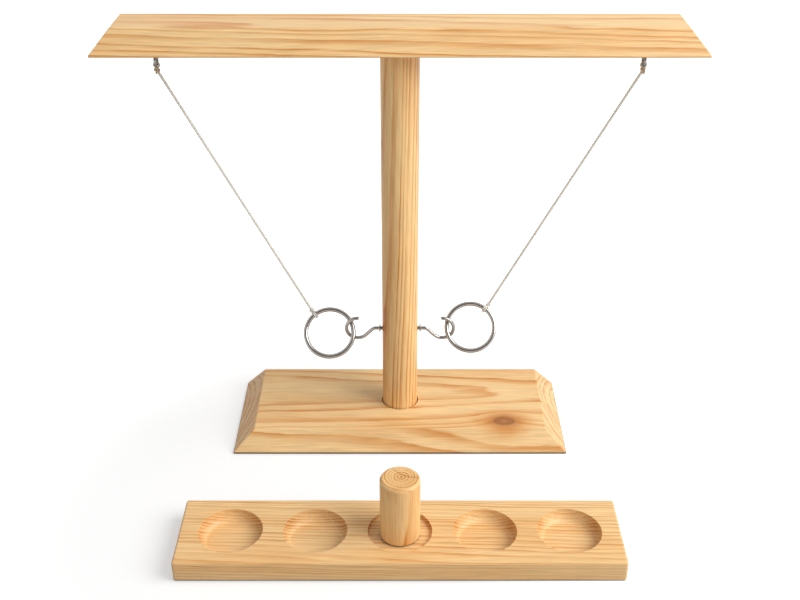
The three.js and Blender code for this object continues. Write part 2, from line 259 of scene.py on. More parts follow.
class StageSettings(bpy.types.PropertyGroup):
    """Camera, light and floor"""

    lens: FloatProperty(name="Lens", description="Focal length of the camera", default=50,
                        subtype="DISTANCE_CAMERA")
    key_power: FloatProperty(name="Key", description="Power of the main lamp", default=53.5, unit="POWER")
    ambient: FloatProperty(name="Ambient", description="Strength of the light from all round", default=0.4)
    floor_glow: FloatProperty(name="Floor glow", description="White that the floor shows before it is lit",
                              default=0.45)


SETTINGS = (("ring_game_wood", WoodSettings), ("ring_game_metal", MetalSettings),
            ("ring_game_cord", CordSettings), ("ring_game_stage", StageSettings))


# Materials

def new_material(name):
    material = bpy.data.materials.new(name)
    material.use_nodes = True
    material.node_tree.nodes.clear()
    return material, material.node_tree


def grey(value):
    return (value, value, value, 1)


def add(tree, kind, settings=None, links=None):
    """Adds a node with its settings, its constants and its links, and gives its outputs. Stops are the greys
    of a colour ramp, as places and shares."""
    node = tree.nodes.new("ShaderNode" + kind)
    for key, value in (settings or {}).items():
        if key == "stops":
            ramp = node.color_ramp.elements
            while len(ramp) < len(value):
                ramp.new(1)
            for element, (position, share) in zip(ramp, value):
                element.position = position
                element.color = grey(share)
        else:
            setattr(node, key, value)
    for key, value in (links or {}).items():
        if isinstance(value, bpy.types.NodeSocket):
            tree.links.new(value, node.inputs[key])
        else:
            node.inputs[key].default_value = value
    return node.outputs


# Marks of pine, as lengths along and across the grain in millimetres
SWEEP = (260, 42)
RIPPLE = (34, 7)
FADE = (75, 9)
WARMTH = (150, 24)
FIBRE = (26, 0.8)
KNOT_GRIT = (6, 6)
RIPPLE_REACH = 1.1
KNOT_GRIT_REACH = 2.2
# Rise of the growth sheets for each millimetre along the grain
TAPER = 0.018
# How many years' widths the lines stray from even spacing, and how quickly
YEAR_STRAY = 1.9
YEAR_STRAY_PACE = 0.31
# Share of late wood through one year: pale for half of it, then darker, then a sharp end
YEAR_STOPS = ((0, 0.12), (0.08, 0), (0.45, 0.05), (0.78, 0.66), (0.94, 1), (1, 0.12))
# Share of brown from the middle of a knot to twice its radius
KNOT_STOPS = ((0, 0.6), (0.07, 0.5), (0.15, 0.74), (0.42, 0.82), (0.58, 0.3), (1, 0))
# A knot lies along the grain, so distance from its middle counts for less there
KNOT_SHAPE = (0.52, 0.8)
KNOT_LAYER = 0.17
# Rise of the growth sheets at a knot, in years' widths, and how quickly it falls away from there
KNOT_BULGE_YEARS = 1.5
KNOT_BULGE_FALL = 0.35
KNOT_BULGE_POWER = 1.3
# A crack beside the pith, in millimetres: its place aside, its slope and the change of its slope
CRACK_ASIDE = 2.6
CRACK_SLOPE = -0.75
CRACK_CURVE = -0.045
# Most that cut ends darken, and how much early and late wood share in that
BOARD_END = 0.36
DOWEL_END = 0.13
EARLY_THIRST = 0.7
LATE_THIRST = 1.9
GRAIN_RELIEF = 0.2 * MM
# Heights above a piece's foot, between which its band of painted contact shade fades
FOOT_SHADE_FADE = (1.3 * MM, 2 * MM)
FOOT_SHADE_SHARE = 0.9
# Fibres and worn patches of cotton yarn, and the share of light that it lets through
YARN_FIBRE = 0.45 * MM
YARN_WEAR = 7 * MM
YARN_RELIEF = 0.1 * MM
YARN_THROUGH = 0.5
# Patches of oxide on steel, in sizes of its tumbling marks
OXIDE_SIZE = 9

# Ranges: 1 and 2 are the least and most that comes in, and 3 and 4 are what they become
CUT_END = {1: 0.35, 2: 1, 3: 0}
FADE_DEPTH = {1: 0.36, 2: 0.62, 3: 0.42, 4: 1.1}
ROSY_SHARE = {1: 0.4, 2: 0.7, 3: 0, 4: 0.6}
FIBRE_SHADE = {1: 0.3, 2: 0.7, 3: 0.85, 4: 1.1}
GRAIN_ROUGHNESS = {1: 0.3, 2: 1.3, 3: 0.5, 4: 0.38}
KNOT_LAYER_SHADE = {1: 0, 2: KNOT_LAYER, 3: 0.84, 4: 1.1}
KNOT_HALO = {1: 1, 2: 3.6, 3: 0.7, 4: 0}
CRACK_SHADE = {1: 0.14, 2: 0.4, 3: 0.8, 4: 0}
CRACK_CLOSING = {1: 4.5, 2: 6, 3: 1, 4: 0}
PITH_SHADE = {1: 0.55, 2: 0.95, 3: 0.9, 4: 0}
FLAT_END = {1: 0.9, 2: 0.98, 3: 0, 4: 1}
OXIDE_SHADE = {1: 0.35, 2: 0.65, 3: 0.86, 4: 1.06}
YARN_SHADE = {1: 0.5, 2: 1.05, 3: 0.93, 4: 1}


def streaks(tree, at, seed, size, detail=2):
    """Noise drawn out along the grain, in marks of about size millimetres along and across it."""
    length, width = size
    drawn = add(tree, "VectorMath", {"operation": "MULTIPLY_ADD"}, {
        0: at, 1: (1 / length, 1 / width, 1 / width), 2: (seed, 2.3 * seed, 3.7 * seed)})
    return add(tree, "TexNoise", {}, {"Vector": drawn[0], "Scale": 1, "Detail": detail, "Roughness": 0.55})


def shifted(tree, at, noise, reach):
    """Points moved sideways by a noise, up to half the reach each way, in millimetres."""
    centred = add(tree, "VectorMath", {"operation": "SUBTRACT"}, {0: noise["Color"], 1: (0.5, 0.5, 0.5)})
    step = add(tree, "VectorMath", {"operation": "MULTIPLY"}, {0: centred[0], 1: (0, reach, reach)})
    return add(tree, "VectorMath", {"operation": "ADD"}, {0: at, 1: step[0]})[0]


def knot_distance(tree, spot, knot, seed):
    """Distance from the middle of a knot, in its radii."""
    (x, y), radius = knot
    along, across = (share / MM for share in KNOT_SHAPE)
    near = add(tree, "Mapping", {}, {"Vector": spot["Object"], "Scale": (along, across, 0),
                                     "Location": (-along * x, -across * y, 0)})[0]
    rough = shifted(tree, near, streaks(tree, near, seed, KNOT_GRIT), KNOT_GRIT_REACH)
    away = add(tree, "VectorMath", {"operation": "LENGTH"}, {0: rough})["Value"]
    return add(tree, "Math", {"operation": "DIVIDE"}, {0: away, 1: radius / MM})[0]


def bulged(tree, radius, core, rise):
    """Radius of the growth sheets where they bulge round a knot."""
    fall = add(tree, "Math", {"operation": "POWER"}, {0: core, 1: KNOT_BULGE_POWER})[0]
    hill = add(tree, "Math", {"operation": "MULTIPLY"}, {0: fall, 1: -KNOT_BULGE_FALL})[0]
    swell = add(tree, "Math", {"operation": "EXPONENT"}, {0: hill})[0]
    return add(tree, "Math", {"operation": "MULTIPLY_ADD"}, {0: swell, 1: rise, 2: radius})[0]


def late_wood(tree, at, radius, year, seed, depths):
    """Share of late wood: a line a year, uneven in width and depth, that fades here and there."""
    years = add(tree, "Math", {"operation": "DIVIDE"}, {0: radius, 1: year})[0]
    uneven = add(tree, "TexNoise", {"noise_dimensions": "1D"}, {
        "W": years, "Scale": YEAR_STRAY_PACE, "Detail": 2})["Fac"]
    years = add(tree, "Math", {"operation": "MULTIPLY_ADD"}, {0: uneven, 1: YEAR_STRAY, 2: years})[0]
    season = add(tree, "Math", {"operation": "FRACT"}, {0: years})[0]
    number = add(tree, "Math", {"operation": "FLOOR"}, {0: years})[0]
    vigour = add(tree, "TexWhiteNoise", {"noise_dimensions": "1D"}, {"W": number})["Value"]
    late = add(tree, "ValToRGB", {"stops": YEAR_STOPS}, {0: season})["Color"]
    depth = add(tree, "MapRange", {}, {0: vigour, 3: depths[0], 4: depths[1]})[0]
    fade = streaks(tree, at, seed, FADE)["Fac"]
    patchy = add(tree, "MapRange", {}, {0: fade, **FADE_DEPTH})[0]
    depth = add(tree, "Math", {"operation": "MULTIPLY"}, {0: depth, 1: patchy})[0]
    return add(tree, "Math", {"operation": "MULTIPLY"}, {0: late, 1: depth})[0]


def with_cut_ends(tree, wood, colour, end, lines, most):
    """Cut ends drink in the finish, most of all in the late wood, and look darker and warmer."""
    ends = add(tree, "MapRange", {"interpolation_type": "SMOOTHSTEP"}, {0: end, **CUT_END, 4: most})[0]
    drunk = add(tree, "Math", {"operation": "MULTIPLY_ADD"}, {0: lines, 1: LATE_THIRST, 2: EARLY_THIRST})[0]
    ends = add(tree, "Math", {"operation": "MULTIPLY"}, {0: ends, 1: drunk})[0]
    return add(tree, "Mix", {"data_type": "RGBA"}, {0: ends, 6: colour, 7: (*wood.end, 1)})[2]


def with_knot(tree, wood, colour, core):
    """A branch knot has a brown heart in layers, and honey wood round it."""
    half = add(tree, "Math", {"operation": "MULTIPLY"}, {0: core, 1: 0.5})[0]
    heart = add(tree, "ValToRGB", {"stops": KNOT_STOPS}, {0: half})["Color"]
    layers = add(tree, "Math", {"operation": "PINGPONG"}, {0: core, 1: KNOT_LAYER})[0]
    ringed = add(tree, "MapRange", {}, {0: layers, **KNOT_LAYER_SHADE})[0]
    heart = add(tree, "Math", {"operation": "MULTIPLY"}, {0: heart, 1: ringed})[0]
    halo = add(tree, "MapRange", {"interpolation_type": "SMOOTHSTEP"}, {0: core, **KNOT_HALO})[0]
    colour = add(tree, "Mix", {"data_type": "RGBA"}, {0: halo, 6: colour, 7: (*wood.late, 1)})[2]
    return add(tree, "Mix", {"data_type": "RGBA"}, {0: heart, 6: colour, 7: (*wood.knot, 1)})[2]


def with_crack(tree, wood, colour, bent, reach, end):
    """The flat end shows the pith as a dot, and one drying crack that bends past it and closes."""
    part = add(tree, "SeparateXYZ", {}, {0: bent})
    slope = add(tree, "Math", {"operation": "MULTIPLY_ADD"}, {
        0: part["Z"], 1: CRACK_CURVE, 2: CRACK_SLOPE})[0]
    lean = add(tree, "Math", {"operation": "MULTIPLY_ADD"}, {0: part["Z"], 1: slope, 2: part["Y"]})[0]
    offset = add(tree, "Math", {"operation": "SUBTRACT"}, {0: lean, 1: CRACK_ASIDE})[0]
    apart = add(tree, "Math", {"operation": "ABSOLUTE"}, {0: offset})[0]
    crack = add(tree, "MapRange", {}, {0: apart, **CRACK_SHADE})[0]
    closing = add(tree, "MapRange", {}, {0: part["Z"], **CRACK_CLOSING})[0]
    crack = add(tree, "Math", {"operation": "MULTIPLY"}, {0: crack, 1: closing})[0]
    heart = add(tree, "MapRange", {}, {0: reach, **PITH_SHADE})[0]
    mark = add(tree, "Math", {"operation": "MAXIMUM"}, {0: crack, 1: heart})[0]
    flat = add(tree, "MapRange", {}, {0: end, **FLAT_END})[0]
    shown = add(tree, "Math", {"operation": "MULTIPLY"}, {0: mark, 1: flat})[0]
    return add(tree, "Mix", {"data_type": "RGBA"}, {0: shown, 6: colour, 7: (*wood.knot, 1)})[2]


def with_painted_foot_shade(tree, wood, colour, spot, foot):
    """The edge that a piece stands on is painted darker, as painted contact shade."""
    above = add(tree, "SeparateXYZ", {}, {0: spot["Object"]})["Z"]
    low, high = (foot + height for height in FOOT_SHADE_FADE)
    # Painted contact shade: the colour turns dark towards the foot, where the piece meets what it stands on
    foot_shade = add(tree, "MapRange", {}, {0: above, 1: low, 2: high, 3: FOOT_SHADE_SHARE, 4: 0})[0]
    return add(tree, "Mix", {"data_type": "RGBA"}, {0: foot_shade, 6: colour, 7: (*wood.foot_shade, 1)})[2]


def pine(name, wood, pith, year, seed, upright=False, wander=7, depths=(0.65, 1.2),
         knot=None, split=False, foot=None):
    """Sanded pine with a thin satin finish: pale early wood and honey late wood in sheets round the pith, so
    that long faces show lines and flames and end faces show arcs. Across the grain and in millimetres, pith
    is its place, year a year's width and wander how far the sheets stray. Depths are those of the faintest
    and the strongest lines. In metres, a knot is (place, radius), and foot is the height of the edge along
    which a dark band of painted contact shade is drawn. Split adds a crack by the pith."""
    material, tree = new_material(name)
    spot = add(tree, "TexCoord")
    turn = (0, math.pi / 2, 0) if upright else (0, 0, 0)
    at = add(tree, "Mapping", {}, {"Vector": spot["Object"], "Rotation": turn, "Scale": (1 / MM,) * 3,
                                   "Location": (0, -pith[0], -pith[1])})[0]
    bent = shifted(tree, at, streaks(tree, at, seed, SWEEP), wander)
    bent = shifted(tree, bent, streaks(tree, at, seed + 1, RIPPLE), RIPPLE_REACH)
    across = add(tree, "VectorMath", {"operation": "MULTIPLY"}, {0: bent, 1: (0, 1, 1)})[0]
    reach = add(tree, "VectorMath", {"operation": "LENGTH"}, {0: across})["Value"]
    # The trunk tapers, so the sheets run out of a sawn face at a slight angle
    along = add(tree, "SeparateXYZ", {}, {0: at})["X"]
    radius = add(tree, "Math", {"operation": "MULTIPLY_ADD"}, {0: along, 1: TAPER, 2: reach})[0]
    if knot:
        core = knot_distance(tree, spot, knot, seed)
        radius = bulged(tree, radius, core, KNOT_BULGE_YEARS * year)
    lines = late_wood(tree, at, radius, year, seed + 2, depths)
    warmth = streaks(tree, at, seed + 3, WARMTH)["Fac"]
    tone = add(tree, "MapRange", {}, {0: warmth, **ROSY_SHARE})[0]
    early = wood.dowel if upright else wood.early
    pale = add(tree, "Mix", {"data_type": "RGBA"}, {0: tone, 6: (*early, 1), 7: (*wood.rosy, 1)})[2]
    colour = add(tree, "Mix", {"data_type": "RGBA"}, {0: lines, 6: pale, 7: (*wood.late, 1)})[2]
    fibre = streaks(tree, bent, seed + 4, FIBRE, 3)["Fac"]
    shade = add(tree, "MapRange", {}, {0: fibre, **FIBRE_SHADE})[0]
    colour = add(tree, "VectorMath", {"operation": "SCALE"}, {0: colour, "Scale": shade})[0]
    facing = add(tree, "VectorMath", {"operation": "DOT_PRODUCT"}, {
        0: spot["Normal"], 1: UP if upright else RIGHT})["Value"]
    end = add(tree, "Math", {"operation": "ABSOLUTE"}, {0: facing})[0]
    colour = with_cut_ends(tree, wood, colour, end, lines, DOWEL_END if upright else BOARD_END)
    if knot:
        colour = with_knot(tree, wood, colour, core)
    if split:
        colour = with_crack(tree, wood, colour, bent, reach, end)
    # A dark band painted along the foot stands for contact shade
    if foot is not None:
        colour = with_painted_foot_shade(tree, wood, colour, spot, foot)
    # Late wood stands a little proud after sanding, and shines a little more
    height = add(tree, "Math", {"operation": "MULTIPLY_ADD"}, {0: lines, 1: 0.6, 2: fibre})[0]
    bump = add(tree, "Bump", {}, {"Height": height, "Strength": 0.1, "Distance": GRAIN_RELIEF})[0]
    gloss = add(tree, "MapRange", {}, {0: height, **GRAIN_ROUGHNESS})[0]
    shader = add(tree, "BsdfPrincipled", {}, {"Base Color": colour, "Roughness": gloss, "Normal": bump,
                                              "Specular IOR Level": 0.45})
    add(tree, "OutputMaterial", {}, {"Surface": shader[0]})
    return material


def steel(name, colour, roughness, grain):
    """Polished steel wire: a grey mirror dulled by faint tumbling marks and darker patches of oxide, in marks
    of about grain millimetres, drawn coarser than real ones so that they show."""
    material, tree = new_material(name)
    spot = add(tree, "TexCoord")["Object"]
    marks = add(tree, "TexNoise", {}, {
        "Vector": spot, "Scale": 1 / (grain * MM), "Detail": 4, "Roughness": 0.6})["Fac"]
    patches = add(tree, "TexNoise", {}, {
        "Vector": spot, "Scale": 1 / (OXIDE_SIZE * grain * MM), "Detail": 2})["Fac"]
    dull = add(tree, "MapRange", {}, {0: marks, 1: 0.3, 2: 0.7, 3: roughness - 0.015, 4: roughness + 0.02})[0]
    shade = add(tree, "MapRange", {}, {0: patches, **OXIDE_SHADE})[0]
    tint = add(tree, "VectorMath", {"operation": "SCALE"}, {0: colour, "Scale": shade})[0]
    # The wire's edges stay dark, because its skin of oxide doesn't mirror as clean metal does
    shader = add(tree, "BsdfPrincipled", {}, {"Base Color": tint, "Metallic": 1, "Roughness": dull,
                                              "Specular Tint": grey(0.12)})
    add(tree, "OutputMaterial", {}, {"Surface": shader[0]})
    return material


def cotton(name, colour):
    """Twisted undyed cotton: matt, with fibres of about half a millimetre and faint patches of wear."""
    material, tree = new_material(name)
    spot = add(tree, "TexCoord")["Object"]
    fibres = add(tree, "TexNoise", {}, {
        "Vector": spot, "Scale": 1 / YARN_FIBRE, "Detail": 3, "Roughness": 0.7})["Fac"]
    wear = add(tree, "TexNoise", {}, {"Vector": spot, "Scale": 1 / YARN_WEAR, "Detail": 2})["Fac"]
    both = add(tree, "Math", {"operation": "MULTIPLY_ADD"}, {0: wear, 1: 0.6, 2: fibres})[0]
    shade = add(tree, "MapRange", {}, {0: both, **YARN_SHADE})[0]
    tint = add(tree, "VectorMath", {"operation": "SCALE"}, {0: colour, "Scale": shade})[0]
    bump = add(tree, "Bump", {}, {"Height": fibres, "Strength": 0.35, "Distance": YARN_RELIEF})[0]
    shader = add(tree, "BsdfPrincipled", {}, {"Base Color": tint, "Roughness": 0.92, "Normal": bump,
                                              "Sheen Weight": 0.3, "Sheen Roughness": 0.5})[0]
    # Loose yarn lets some light through
    through = add(tree, "BsdfTranslucent", {}, {"Color": tint})[0]
    both_sides = add(tree, "MixShader", {}, {0: YARN_THROUGH, 1: shader, 2: through})
    add(tree, "OutputMaterial", {}, {"Surface": both_sides[0]})
    return material


# Modelling

def add_piece(bm, name, material, body, node, crease=BOARD_CREASE, even=False):
    """Makes a piece of a bmesh: it rides on a body and stands for a node of the frame."""
    bmesh.ops.remove_doubles(bm, verts=bm.verts, dist=MERGE_DISTANCE)
    bmesh.ops.recalc_face_normals(bm, faces=bm.faces)
    mesh = bpy.data.meshes.new(name)
    bm.to_mesh(mesh)
    bm.free()
    mesh.polygons.foreach_set("use_smooth", [True] * len(mesh.polygons))
    mesh.set_sharp_from_angle(angle=math.radians(crease))
    mesh.materials.append(material)
    piece = bpy.data.objects.new(name, mesh)
    bpy.context.scene.collection.objects.link(piece)
    if even:
        piece.modifiers.new("even_faces", "WEIGHTED_NORMAL").keep_sharp = True
    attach(piece, body)
    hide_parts(node)
    return piece


def edges_of(geometry):
    return [part for part in geometry if isinstance(part, bmesh.types.BMEdge)]


def verts_of(geometry):
    return [part for part in geometry if isinstance(part, bmesh.types.BMVert)]


def round_edges(bm, edges, radius, segments=3):
    bmesh.ops.bevel(bm, geom=edges, offset=radius, offset_type="OFFSET", affect="EDGES", segments=segments,
                    profile=0.5, material=-1, clamp_overlap=True)


def open_face(bm, centre, radius, low, high, z):
    """Flat face from a round hole out to a rectangle: gives the edges of the hole and of the rectangle."""
    middle = Vector((*centre, z))
    hole = bmesh.ops.create_circle(bm, segments=ROUND_SIDES, radius=radius, matrix=Matrix.Translation(middle))
    rim = list({edge for vert in hole["verts"] for edge in vert.link_edges})
    outer = bmesh.ops.extrude_edge_only(bm, edges=rim)["geom"]
    frame_verts = verts_of(outer)
    for vert in frame_verts:
        away = vert.co - middle
        room_x = (high[0] - centre[0]) if away.x > 0 else (centre[0] - low[0])
        room_y = (high[1] - centre[1]) if away.y > 0 else (centre[1] - low[1])
        vert.co = middle + away / max(abs(away.x) / room_x, abs(away.y) / room_y)
    for x in (low[0], high[0]):
        for y in (low[1], high[1]):
            corner = Vector((x, y, z))
            min(frame_verts, key=lambda vert: (vert.co - corner).length).co = corner
    return rim, edges_of(outer)


def extended(bm, edges, move):
    """Extrudes a loop of edges and moves the new points by a function: gives the new edges."""
    grown = bmesh.ops.extrude_edge_only(bm, edges=edges)["geom"]
    for vert in verts_of(grown):
        vert.co = move(vert.co)
    return edges_of(grown)


def closed(bm, edges):
    bmesh.ops.edgeloop_fill(bm, edges=edges)


def remapped(old_low, old_high, new_low, new_high, z):
    """Function that carries points of one rectangle to another rectangle at a height."""
    def move(point):
        share_x = (point.x - old_low[0]) / (old_high[0] - old_low[0])
        share_y = (point.y - old_low[1]) / (old_high[1] - old_low[1])
        return Vector((new_low[0] + share_x * (new_high[0] - new_low[0]),
                       new_low[1] + share_y * (new_high[1] - new_low[1]), z))
    return move


def sharp_edges(bm, keep_out=()):
    """Edges between two faces that meet at more than the arris angle."""
    bm.normal_update()
    skip = set(keep_out)
    least = math.radians(ARRIS_ANGLE)
    return [edge for edge in bm.edges
            if edge not in skip and len(edge.link_faces) == 2 and edge.calc_face_angle(0) > least]


def bevelled_board(node, end_bevel, front_bevel, socket_below, arris):
    """Board with a square back and long bevels at its front and ends, and a round socket for the pole."""
    low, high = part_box(node)
    pole_low, pole_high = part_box("pole")
    hole = (pole_high.x - pole_low.x) / 2 + FIT + SEAT_GAP
    foot = (low.xy, high.xy)
    top = (Vector((low.x + end_bevel, low.y + front_bevel)), Vector((high.x - end_bevel, high.y)))
    land = low.z + BEVEL_LAND
    bm = bmesh.new()
    if socket_below:
        levels = ((*foot, low.z), (*foot, land), (*top, high.z))
        floor = low.z + SOCKET_DEPTH
    else:
        eased = (foot[0] + Vector((UNDERCUT, UNDERCUT)), foot[1] - Vector((UNDERCUT, UNDERCUT)))
        levels = ((*top, high.z), (*foot, land), (*eased, low.z))
        floor = high.z - SOCKET_DEPTH
    rim, outline = open_face(bm, (0, 0), hole, *levels[0])
    for before, after in zip(levels, levels[1:]):
        outline = extended(bm, outline, remapped(before[0], before[1], *after))
    closed(bm, outline)
    closed(bm, extended(bm, rim, lambda point: Vector((point.x, point.y, floor))))
    bmesh.ops.recalc_face_normals(bm, faces=bm.faces)
    in_hole = hole + RIM_TOLERANCE
    on_rim = [edge for edge in bm.edges if all(vert.co.xy.length < in_hole for vert in edge.verts)]
    round_edges(bm, sharp_edges(bm, on_rim), arris)
    return bm


def dowel(low, high, top_arris, foot_arris):
    """Upright turned bar that fills a box."""
    middle = (low + high) / 2
    radius = (high.x - low.x) / 2
    bm = bmesh.new()
    bmesh.ops.create_cone(bm, cap_ends=True, segments=ROUND_SIDES, radius1=radius, radius2=radius,
                          depth=high.z - low.z, matrix=Matrix.Translation(middle))
    for arris, z in ((top_arris, high.z), (foot_arris, low.z)):
        ends = [edge for edge in bm.edges if all(abs(vert.co.z - z) < MERGE_DISTANCE for vert in edge.verts)]
        round_edges(bm, ends, arris, 4)
    return bm


def wire_circle(bm, centre, axis, radius, sides=WIRE_SIDES):
    """Edges of a circle about an axis."""
    place = Matrix.Translation(centre) @ UP.rotation_difference(axis).to_matrix().to_4x4()
    made = bmesh.ops.create_circle(bm, segments=sides, radius=radius, matrix=place)
    return list({edge for vert in made["verts"] for edge in vert.link_edges})


def pushed(bm, edges, step):
    """Extrudes a section straight on, and gives its new edges."""
    return extended(bm, edges, lambda point: point + step)


def bent_on(bm, edges, centre, axis, angle, steps):
    """Turns a section on about a centre, and gives its new edges."""
    made = bmesh.ops.spin(bm, geom=edges, cent=centre, axis=axis, angle=angle, steps=steps)
    return edges_of(made["geom_last"])


def wire_ring(bm, centre, axis, radius, wire, steps):
    """Closed ring of round wire about an axis."""
    side = axis.orthogonal().normalized()
    section = wire_circle(bm, centre + side * radius, axis.cross(side), wire / 2)
    bmesh.ops.spin(bm, geom=section, cent=centre, axis=axis, angle=2 * math.pi, steps=steps, use_merge=True)


def capped_bar(bm, start, end, radius, sides=WIRE_SIDES):
    """Closed round bar from one point to another."""
    along = (end - start).normalized()
    section = wire_circle(bm, start, along, radius, sides)
    closed(bm, section)
    closed(bm, pushed(bm, section, end - start))


def thread(bm, start, end, radius, height, pitch):
    """Ridge of a screw thread wound round a bar from one point to another."""
    along = (end - start).normalized()
    side = along.orthogonal().normalized()
    turns = (end - start).length / pitch - 1
    steps = max(1, round(turns * WIRE_SIDES))
    foot = start + side * (radius - THREAD_SINK * height)
    crest = start + side * (radius + height)
    flank = along * pitch * THREAD_FLANK
    corners = [bm.verts.new(spot) for spot in (foot, crest + flank, foot + 2 * flank)]
    ridge = bm.faces.new(corners)
    bmesh.ops.spin(bm, geom=[ridge, *ridge.edges, *corners], cent=start, axis=along,
                   angle=turns * 2 * math.pi, steps=steps, dvec=along * turns * pitch / steps)


def tubes(paths, radius, sides=3):
    """Bmesh of round tubes along lists of points."""
    curve = bpy.data.curves.new("strands", "CURVE")
    curve.dimensions = "3D"
    curve.bevel_depth = radius
    curve.bevel_resolution = sides
    curve.use_fill_caps = True
    for path in paths:
        spline = curve.splines.new("POLY")
        spline.points.add(len(path) - 1)
        for spot, place in zip(spline.points, path):
            spot.co = (*place, 1)
    holder = bpy.data.objects.new("strands", curve)
    mesh = bpy.data.meshes.new_from_object(holder)
    bm = bmesh.new()
    bm.from_mesh(mesh)
    bpy.data.objects.remove(holder)
    bpy.data.curves.remove(curve)
    bpy.data.meshes.remove(mesh)
    return bm


def twisted(route, diameter, lay, strands=3):
    """Strand paths laid round a route, each a turn in every lay."""
    offset = diameter * STRAND_OFFSET
    side = (route[1] - route[0]).orthogonal().normalized()
    paths = [[] for _ in range(strands)]
    gone = 0
    for i, place in enumerate(route):
        along = (route[min(i + 1, len(route) - 1)] - route[max(i - 1, 0)]).normalized()
        side = (side - along * side.dot(along)).normalized()
        other = along.cross(side)
        if i:
            gone += (place - route[i - 1]).length
        for k, path in enumerate(paths):
            angle = 2 * math.pi * (gone / lay + k / strands)
            path.append(place + offset * (side * math.cos(angle) + other * math.sin(angle)))
    return paths


def straight(start, end, step):
    """Route from one point to another in steps of about a length."""
    count = max(2, round((end - start).length / step))
    return [start.lerp(end, i / count) for i in range(count + 1)]


def overhand(centre, size, face, up):
    """Route of an overhand knot drawn tight, lying flat towards a direction: a trefoil, which reaches 3."""
    side = up.cross(face).normalized()
    rise = face.cross(side)
    route = []
    for i in range(KNOT_STEPS + 1):
        t = 2 * math.pi * i / KNOT_STEPS
        x = math.sin(t) + 2 * math.sin(2 * t)
        y = math.cos(t) - 2 * math.cos(2 * t)
        z = -1.5 * math.sin(3 * t)
        route.append(centre + size / 3 * (side * x + rise * y + face * z))
    return route


def loop_round(centre, axis, radius, start, turns, advance):
    """Route of a cord wound round a wire, from a starting direction."""
    other = axis.cross(start)
    count = round(LOOP_STEPS * turns)
    route = []
    for i in range(count + 1):
        angle = 2 * math.pi * turns * i / count
        shift = axis * advance * (i / count - 0.5)
        route.append(centre + shift + radius * (start * math.cos(angle) + other * math.sin(angle)))
    return route


def drooping(start, away, length):
    """Route of a short cord end that leaves in a direction and droops."""
    shares = [i / TAIL_STEPS for i in range(TAIL_STEPS + 1)]
    return [start + away * length * share - UP * TAIL_DROOP * length * share * share for share in shares]


def frayed(end, away, length):
    """Loose yarns that spread from a cut end."""
    side = away.orthogonal().normalized()
    other = away.cross(side)
    paths = []
    for k in range(YARN_COUNT):
        angle = 2 * math.pi * k / YARN_COUNT
        lean = away + YARN_SPREAD * (side * math.cos(angle) + other * math.sin(angle))
        paths.append([end + lean * length * share - away * YARN_SINK for share in (0, 0.5, 1)])
    return paths


def joined(parts):
    """One bmesh of several, which are used up."""
    whole = bmesh.new()
    for part in parts:
        mesh = bpy.data.meshes.new("part")
        part.to_mesh(mesh)
        part.free()
        whole.from_mesh(mesh)
        bpy.data.meshes.remove(mesh)
    return whole


def sided(way, side):
    """Unit direction, mirrored on the left side."""
    return Vector((way[0] * side, way[1], way[2])).normalized()


def ring_shape(name):
    """Centre, axis and radius of a ring's wire, which hangs from its knot."""
    low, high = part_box(f"{name}_ring")
    centre = (low + high) / 2
    axis = RIGHT.cross(JOINT_AT[f"{name}_ring_rock"] - centre).normalized()
    return centre, axis, (high.x - low.x - RING_WIRE) / 2


# Operators

class PieceOperator:
    """What the operators share: they change the scene, and can be undone."""

    bl_options = {"REGISTER", "UNDO"}


